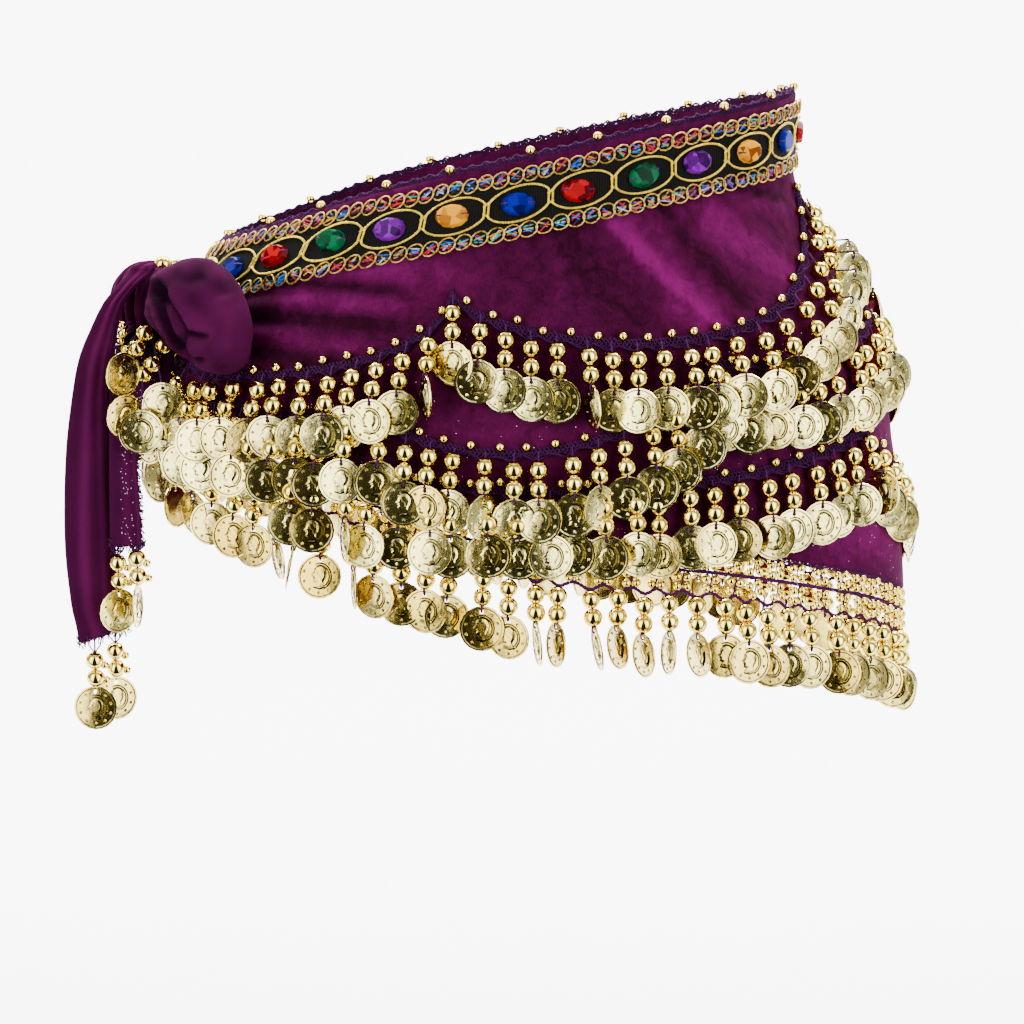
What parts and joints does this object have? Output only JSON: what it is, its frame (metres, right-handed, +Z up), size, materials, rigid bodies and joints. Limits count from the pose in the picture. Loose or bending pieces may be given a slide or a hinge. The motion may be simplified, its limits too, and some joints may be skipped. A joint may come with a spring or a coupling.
{
  "type": "belly dance hip scarf",
  "caption": "Velvet hip scarf tied at one side, with a jewelled ribbon, crochet rows of beads and hanging coins, and a beaded net hem",
  "frame": {"origin": "on the wearer's upright axis, within the sloping waist edge, where the scarf bears on the hips", "axes": "+X to the viewer's right, the deep side of the scarf; -Y to the viewer, the front; +Z up"},
  "size_m": [0.3925, 0.2568, 0.2928],
  "materials": {
    "velvet": "purple stretch velvet with a directional nap",
    "tie_cloth": "plum crepe chiffon, matt and smooth",
    "crochet": "indigo violet crochet thread",
    "ribbon": "black woven ribbon with gold lurex cord and coloured threads",
    "net_beads": "crochet net carrying clusters of small gold beads",
    "gold_beads": "bright gold plated plastic beads and coins",
    "coins": "stamped pale gold coins with a bright finish",
    "gems": "faceted acrylic gems in red, green, violet, amber and blue"
  },
  "bodies": {
    "root": {"hip_panel": "velvet", "waist_edging": "crochet", "jewel_trim": "ribbon", "hem_net": "net_beads", "fringe_row_1": "gold_beads", "fringe_row_2": "gold_beads", "fringe_row_3": "gold_beads", "fringe_hem": "gold_beads", "knot_bulb": "tie_cloth", "knot_wrap": "tie_cloth", "tail_long": "tie_cloth", "tail_short": "tie_cloth", "tail_long_fringe": "gold_beads", "tail_short_fringe": "gold_beads"}
  },
  "joints": []
}
